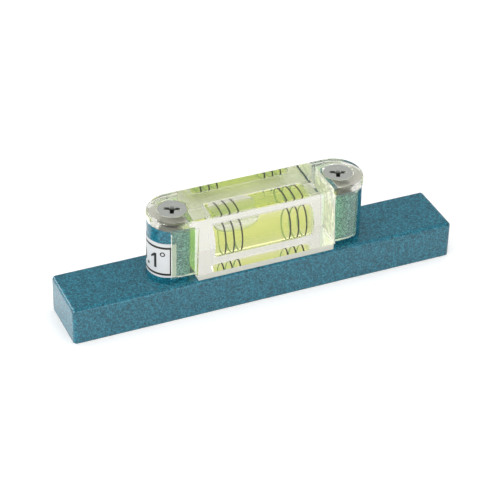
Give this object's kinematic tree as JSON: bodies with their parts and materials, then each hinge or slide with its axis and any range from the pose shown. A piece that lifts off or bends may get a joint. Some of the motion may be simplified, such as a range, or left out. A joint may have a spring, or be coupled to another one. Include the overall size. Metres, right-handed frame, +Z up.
{
  "type": "precision machinist level",
  "caption": "Short painted flat bar with round posts carrying a clear acrylic block vial, filled with yellow-green spirit and marked with black ring lines, for levelling machine surfaces.",
  "frame": {"origin": "middle of the bar's ground sole, which rests on the surface being levelled", "axes": "+X along the bar and the vial, towards the filler plug's end; +Y to the back; +Z up"},
  "size_m": [0.1, 0.016, 0.0271],
  "materials": {
    "hammertone_enamel": "satin",
    "white_pad": "matte",
    "clear_acrylic": "polished",
    "bonded_acrylic": "satin",
    "green_spirit": "polished",
    "white_label": "matte",
    "zinc_steel": "satin",
    "black_ink": "matte"
  },
  "bodies": {
    "root": {"base": "hammertone_enamel", "seating_pad": "white_pad", "vial_body": "clear_acrylic", "filler_plug": "bonded_acrylic", "spirit": "green_spirit", "label": "white_label", "screw_left": "zinc_steel", "screw_right": "zinc_steel", "ring_line_1": "black_ink", "ring_line_2": "black_ink", "ring_line_3": "black_ink", "ring_line_4": "black_ink", "ring_line_5": "black_ink", "ring_line_6": "black_ink"}
  },
  "joints": []
}
